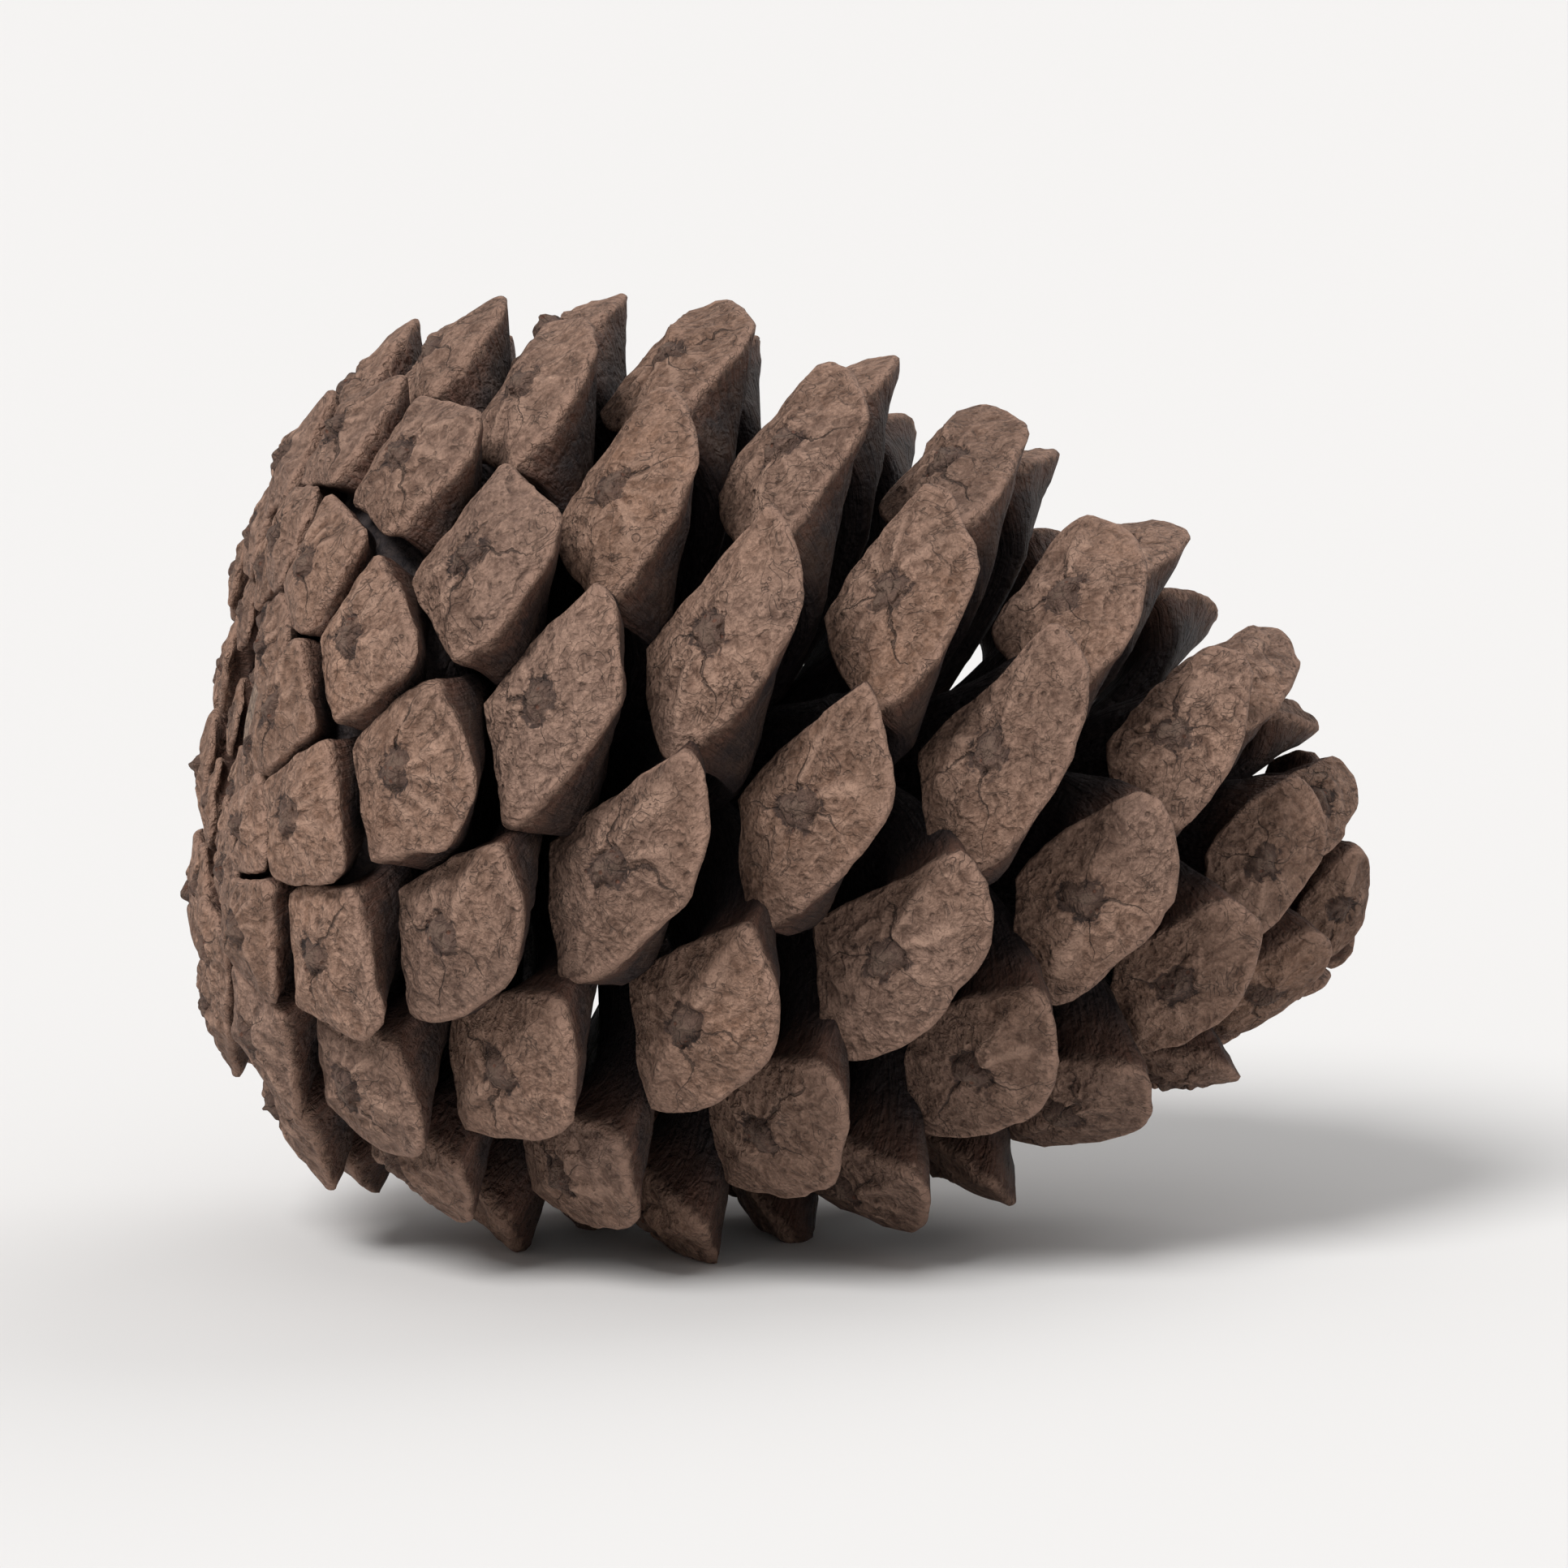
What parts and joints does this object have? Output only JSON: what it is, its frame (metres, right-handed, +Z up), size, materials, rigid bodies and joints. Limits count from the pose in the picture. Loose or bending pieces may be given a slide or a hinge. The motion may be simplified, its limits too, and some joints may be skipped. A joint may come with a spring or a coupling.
{
  "type": "pine cone",
  "caption": "Open pine cone lying on its side, with spirally set woody scales, shut at the stalk end and standing open towards the tip.",
  "frame": {"origin": "centre of the footprint, on the surface that the cone lies on", "axes": "+X from the stalk end towards the tip, +Z up, +Y to the left of the cone seen from its stalk end"},
  "size_m": [0.0736, 0.06, 0.0586],
  "materials": {
    "weathered_scale": "matt, weathered grey-brown scale faces, darker towards the axis"
  },
  "bodies": {
    "root": {"pine_cone": "weathered_scale"}
  },
  "joints": []
}
